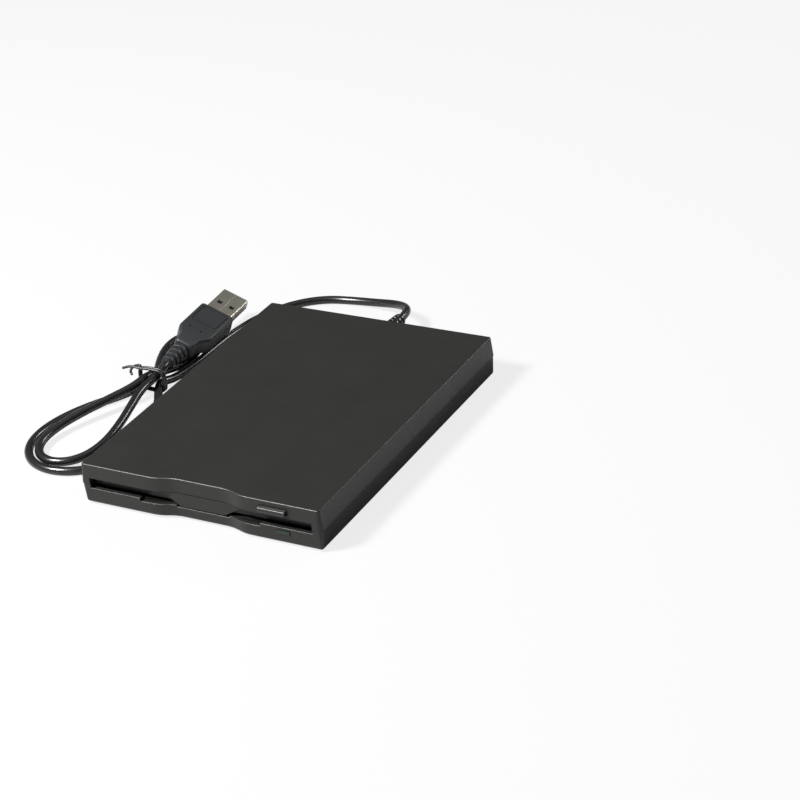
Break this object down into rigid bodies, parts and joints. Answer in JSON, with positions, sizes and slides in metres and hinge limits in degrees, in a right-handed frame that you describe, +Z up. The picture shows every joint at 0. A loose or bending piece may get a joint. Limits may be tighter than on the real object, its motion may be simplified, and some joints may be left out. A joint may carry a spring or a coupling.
{
  "type": "external floppy disk drive",
  "caption": "Slim portable disk drive with a front slot behind a sprung dust door, an eject button and a tied USB cable.",
  "frame": {"origin": "centre of the box of the drive without its cable, on the surface it stands on", "axes": "+Z up, -Y out of the disk slot, +X to the right seen from the front"},
  "size_m": [0.153, 0.1833, 0.0174],
  "materials": {
    "case_plastic": "satin",
    "lamp_lens": "gloss",
    "foot_rubber": "matte",
    "cable_rubber": "satin",
    "steel": "satin",
    "plug_steel": "satin",
    "bearing_brass": "satin",
    "coil_copper": "satin",
    "rotor_steel": "satin",
    "contact_gold": "gloss",
    "board_green": "satin",
    "black_plastic": "satin",
    "white_plastic": "satin",
    "head_ceramic": "gloss"
  },
  "bodies": {
    "case": {"top_cover": "case_plastic", "bottom_cover": "case_plastic", "led_lens": "lamp_lens", "rubber_feet": "foot_rubber", "cable_boot": "cable_rubber", "usb_cable_lead": "cable_rubber", "usb_cable_hank": "cable_rubber", "usb_cable_tail": "cable_rubber", "plug_overmould": "cable_rubber", "twist_tie": "cable_rubber", "case_screws": "steel", "mechanism_screws": "steel", "chassis": "steel", "mechanism_cover": "steel", "guide_rods": "steel", "screw_bracket": "steel", "motor_bracket": "steel", "stepper_motor": "steel", "plug_shell": "plug_steel", "spindle_bearing": "bearing_brass", "stator_coils": "coil_copper", "plug_contacts": "contact_gold", "motor_board": "board_green", "main_board": "board_green", "bridge_board": "board_green", "circuit_chips": "black_plastic", "disk_switches": "black_plastic", "rod_clamps": "black_plastic", "board_ribbon": "black_plastic", "plug_tongue": "white_plastic", "cable_socket": "white_plastic"},
    "slider": {"eject_button": "case_plastic", "eject_slider": "steel"},
    "holder": {"cartridge_holder": "steel", "lever_rivet": "steel"},
    "lever": {"shutter_lever": "steel"},
    "flap": {"slot_flap": "case_plastic"},
    "rotor": {"spindle_rotor": "rotor_steel", "drive_pin": "steel"},
    "carriage": {"head_carriage": "black_plastic", "lower_head": "head_ceramic", "arm_pivot_rod": "steel"},
    "arm": {"upper_head_arm": "black_plastic", "upper_head": "head_ceramic"},
    "worm": {"lead_screw": "steel"}
  },
  "joints": [
    {"name": "holder_drop", "type": "slide", "parent": "case", "child": "holder", "axis": [0, 0, -1], "range_m": [0, 0.002]},
    {"name": "eject_slide", "type": "slide", "parent": "case", "child": "slider", "axis": [0, -1, 0], "range_m": [0, 0.004]},
    {"name": "lever_swing", "type": "hinge", "parent": "holder", "child": "lever", "pos_m": [0.04, 0.022, 0.0128], "axis": [0, 0, -1], "range_deg": [0, 40], "stiffness_Nm_per_rad": 0.0004, "springref_deg": -5.73},
    {"name": "flap_swing", "type": "hinge", "parent": "case", "child": "flap", "pos_m": [0, -0.06625, 0.01235], "axis": [1, 0, 0], "range_deg": [0, 80], "stiffness_Nm_per_rad": 0.0002, "springref_deg": -17.19},
    {"name": "spindle_turn", "type": "hinge", "parent": "case", "child": "rotor", "pos_m": [0, -0.016, 0.004], "axis": [0, 0, 1], "continuous": true},
    {"name": "head_slide", "type": "slide", "parent": "case", "child": "carriage", "axis": [0, -1, 0], "range_m": [0, 0.014]},
    {"name": "arm_swing", "type": "hinge", "parent": "carriage", "child": "arm", "pos_m": [0, 0.0545, 0.0114], "axis": [1, 0, 0], "range_deg": [0, 3.5]},
    {"name": "worm_turn", "type": "hinge", "parent": "case", "child": "worm", "pos_m": [-0.017, 0.04, 0.0084], "axis": [0, 1, 0], "range_deg": [0, 1690]}
  ],
  "couplings": [
    {"joint": "eject_slide", "follows": "holder_drop", "ratio": 2},
    {"joint": "arm_swing", "follows": "holder_drop", "rad_per_m": 28.5},
    {"joint": "worm_turn", "follows": "head_slide", "rad_per_m": 2094.4}
  ]
}
